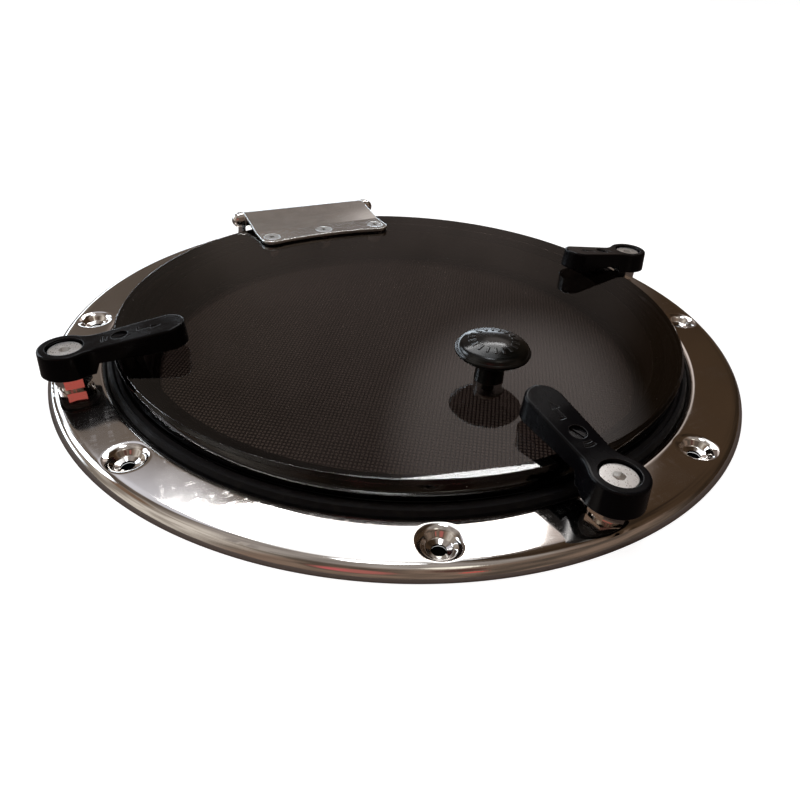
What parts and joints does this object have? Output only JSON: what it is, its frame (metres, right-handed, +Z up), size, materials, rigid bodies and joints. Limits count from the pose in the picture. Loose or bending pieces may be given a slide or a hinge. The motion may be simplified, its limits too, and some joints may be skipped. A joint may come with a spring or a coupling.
{
  "type": "round deck hatch",
  "caption": "Round polished deck hatch with a hinged smoked lid, a lifting knob, swivelling hold-down levers, gaskets and an insect screen in its neck.",
  "frame": {"origin": "on the hatch's axis, in the plane of the deck that the flange rests on", "axes": "+Z up out of the deck, +Y towards the hinge, the front lever towards -Y, +X to the right of somebody who stands at the front lever"},
  "size_m": [0.32, 0.32, 0.0576],
  "materials": {
    "polished_stainless": "mirror-polished stainless steel, faint polishing waves",
    "satin_stainless": "satin stainless steel",
    "smoked_acrylic": "glossy see-through smoked acrylic",
    "black_rubber": "dull black rubber",
    "black_nylon": "satin black moulded nylon",
    "natural_nylon": "dull off-white nylon",
    "black_frame_plastic": "matt black moulded plastic",
    "mesh_fibre": "dark woven insect mesh",
    "brass": "knurled brass"
  },
  "bodies": {
    "frame": {"flange_ring": "polished_stainless", "seat_ring": "satin_stainless", "lid_gasket": "black_rubber", "deck_gasket": "black_rubber", "screen_frame": "black_frame_plastic", "screen_mesh": "mesh_fibre", "screen_spline": "black_rubber", "hinge_lug_left": "polished_stainless", "hinge_lug_right": "polished_stainless", "hinge_pin": "satin_stainless", "hinge_cap_nuts": "polished_stainless", "hinge_thrust_washers": "natural_nylon", "pivot_posts": "polished_stainless", "friction_washers": "black_nylon", "lever_screws": "satin_stainless"},
    "lid": {"lid_panel": "smoked_acrylic", "hinge_leaf": "polished_stainless", "hinge_pad": "black_rubber", "hinge_screws": "polished_stainless", "hinge_screw_washers": "satin_stainless", "hinge_nuts": "polished_stainless", "knob": "black_nylon", "knob_insert": "brass", "knob_screw": "satin_stainless", "knob_washer": "satin_stainless"},
    "front_lever": {"lever_front": "black_nylon", "pressure_screw_front": "black_nylon"},
    "left_lever": {"lever_left": "black_nylon", "pressure_screw_left": "black_nylon"},
    "right_lever": {"lever_right": "black_nylon", "pressure_screw_right": "black_nylon"}
  },
  "joints": [
    {"name": "lid_hinge", "type": "hinge", "parent": "frame", "child": "lid", "pos_m": [0, 0.138, 0.0175], "axis": [-1, 0, 0], "range_deg": [0, 180]},
    {"name": "front_lever_swivel", "type": "hinge", "parent": "frame", "child": "front_lever", "pos_m": [0, -0.149, 0.017], "axis": [0, 0, 1], "range_deg": [-90, 90]},
    {"name": "left_lever_swivel", "type": "hinge", "parent": "frame", "child": "left_lever", "pos_m": [-0.149, 0, 0.017], "axis": [0, 0, 1], "range_deg": [-90, 90]},
    {"name": "right_lever_swivel", "type": "hinge", "parent": "frame", "child": "right_lever", "pos_m": [0.149, 0, 0.017], "axis": [0, 0, 1], "range_deg": [-90, 90]}
  ]
}
